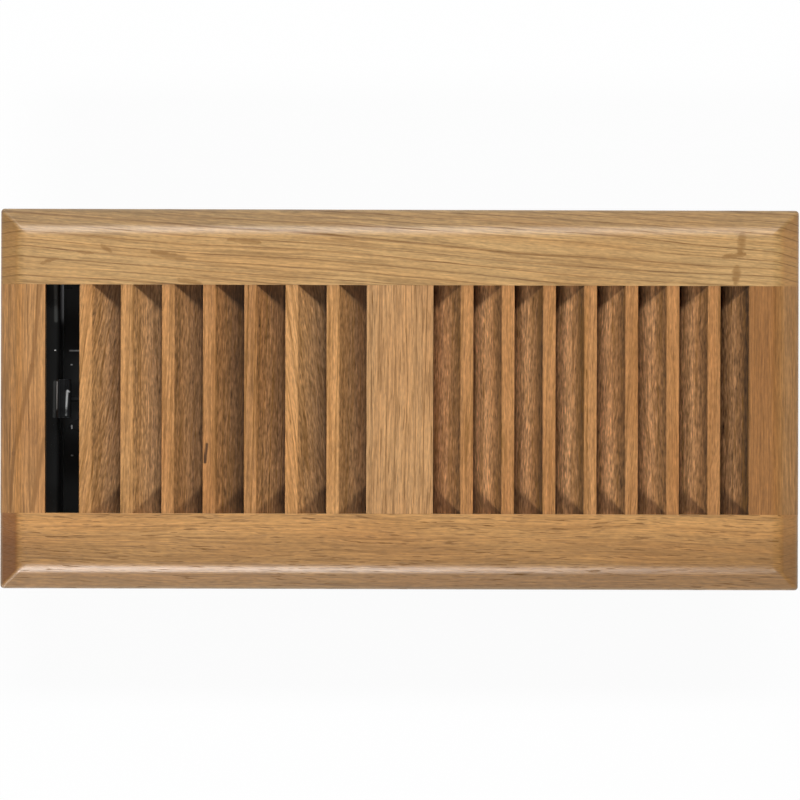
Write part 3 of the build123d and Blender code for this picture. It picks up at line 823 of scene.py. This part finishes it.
def stageSheet(name, lowX, lowY, highX, highY, z, material):
    mesh = bpy.data.meshes.new(name)
    mesh.from_pydata([(lowX, lowY, z), (highX, lowY, z), (highX, highY, z), (lowX, highY, z)], [], [(0, 1, 2, 3)])
    mesh.materials.append(material)
    sheet = addObject(name, mesh)


floorPaint, floorTree = newMaterial("pale_floor")
rays = [floorTree.make("ShaderNodeLightPath", {}, {}, name)
        for name in ("Is Camera Ray", "Is Glossy Ray", "Is Transmission Ray")]
seen = rays[0] + rays[1] + rays[2]
floorCloud = floorTree.noise(floorTree.place(), scale=floorLook["cloudScale"])
floorTone = floorTree.mix(floorCloud, floorLook["tone"], floorLook["cloud"])
floorTone = floorTree.mix(seen, floorLook["bounce"], floorTone)
painted = floorTree.make("ShaderNodeBsdfDiffuse", {}, {"Color": floorTone})
glow = floorTree.make("ShaderNodeEmission", {}, {"Color": plainWhite, "Strength": 1.0})
floorShader = floorTree.make("ShaderNodeMixShader", {}, {0: seen * (1.0 - floorLook["shadow"]), 1: painted, 2: glow})
closeMaterial(floorTree, floorShader)
h = floorLook["half"]
stageSheet("floor", -h, -h, h, h, cadLow.z, floorPaint)

# a dark sheet inside the tray paints shade on the floor there, with a faint painted glow all over and a brighter
# painted glow at one corner
paintedShadeSheetPaint, paintedShadeSheetTree = newMaterial("dark_duct")
sheetX, sheetY = paintedShadeSheetTree.split(paintedShadeSheetTree.place())[:2]
paintedGlow = paintedShadeSheetTree.fade(sheetY, *paintedShadeSheetLook["paintedGlowY"]) * paintedShadeSheetTree.fade(sheetX, *paintedShadeSheetLook["paintedGlowX"])
paintedGlowTone = paintedShadeSheetTree.mix(paintedGlow, paintedShadeSheetLook["dim"], paintedShadeSheetLook["paintedGlow"])
paintedShadeSheetShader = paintedShadeSheetTree.make("ShaderNodeBsdfPrincipled", {}, {
    "Base Color": paintedShadeSheetLook["tone"], "Roughness": paintedShadeSheetLook["rough"],
    "Emission Color": paintedGlowTone, "Emission Strength": 1.0}, "BSDF")
closeMaterial(paintedShadeSheetTree, paintedShadeSheetShader)
inset = paintedShadeSheetLook["inset"]
stageSheet("duct_dark", trayLow.x + inset, trayLow.y + inset, trayHigh.x - inset, trayHigh.y - inset,
           cadLow.z + paintedShadeSheetLook["lift"], paintedShadeSheetPaint)

# white where the camera sees it, a faint fill for everything else
worldLook = {"fill": 0.05, "seen": 1.0}
world = bpy.data.worlds.new("studio")
bpy.context.scene.world = world
world.use_nodes = True
world.node_tree.nodes.clear()
worldTree = NodeMaker(world.node_tree)
seenWorld = worldTree.make("ShaderNodeLightPath", {}, {}, "Is Camera Ray")
fill, white = [worldTree.make("ShaderNodeBackground", {}, {"Color": plainWhite, "Strength": worldLook[use]})
               for use in ("fill", "seen")]
sky = worldTree.make("ShaderNodeMixShader", {}, {0: seenWorld, 1: fill, 2: white})
worldTree.make("ShaderNodeOutputWorld", {}, {"Surface": sky})

# narrow boxes light the wood and cast the shadows, tall ones are only seen as sheen
lamps = {
    "back_key": {"way": radians(90), "tilt": radians(48), "slide": 0.2, "power": 15.0,
                 "long": 1.4, "high": 0.16, "sheen": False},
    "back_sheen": {"way": radians(90), "tilt": radians(45), "slide": -0.25, "power": 11.6,
                   "long": 0.9, "high": 0.74, "sheen": True},
    "front_key": {"way": radians(-90), "tilt": radians(44), "slide": -0.37, "power": 11.0,
                  "long": 0.84, "high": 0.2, "sheen": False},
    "front_sheen": {"way": radians(-90), "tilt": radians(41), "slide": -0.35, "power": 12.0,
                    "long": 0.84, "high": 0.72, "sheen": True},
}
lampReach, lampColour = 1.3, (0.98, 1.0, 1.01)
for name, lamp in lamps.items():
    data = bpy.data.lights.new(name, "AREA")
    data.shape = "RECTANGLE"
    data.size, data.size_y = lamp["long"], lamp["high"]
    data.energy, data.color = lamp["power"], lampColour
    box = addObject(name, data)
    box.visible_diffuse, box.visible_glossy = not lamp["sheen"], lamp["sheen"]
    way, tilt = lamp["way"], lamp["tilt"]
    out = lampReach * cos(tilt)
    box.location = (out * cos(way) + lamp["slide"], out * sin(way), lampReach * sin(tilt))
    box.rotation_euler = (radians(90) - tilt, 0.0, way + radians(90))
print("floor and lamps placed")

shot = {"height": 3.0, "span": 292.29 * mm, "aim": (0.165 * mm, -0.18 * mm), "roll": radians(0.16), "sensor": 36.0,
        "near": 0.1, "far": 50.0}
camera = addObject("camera", bpy.data.cameras.new("camera"))
camera.data.sensor_width = shot["sensor"]
camera.data.lens = shot["sensor"] * (shot["height"] - cadHigh.z) / shot["span"]
camera.data.clip_start, camera.data.clip_end = shot["near"], shot["far"]
camera.location = (*shot["aim"], shot["height"])
camera.rotation_euler = (0.0, 0.0, shot["roll"])
bpy.context.scene.camera = camera
bpy.context.scene.view_settings.view_transform = "Standard"
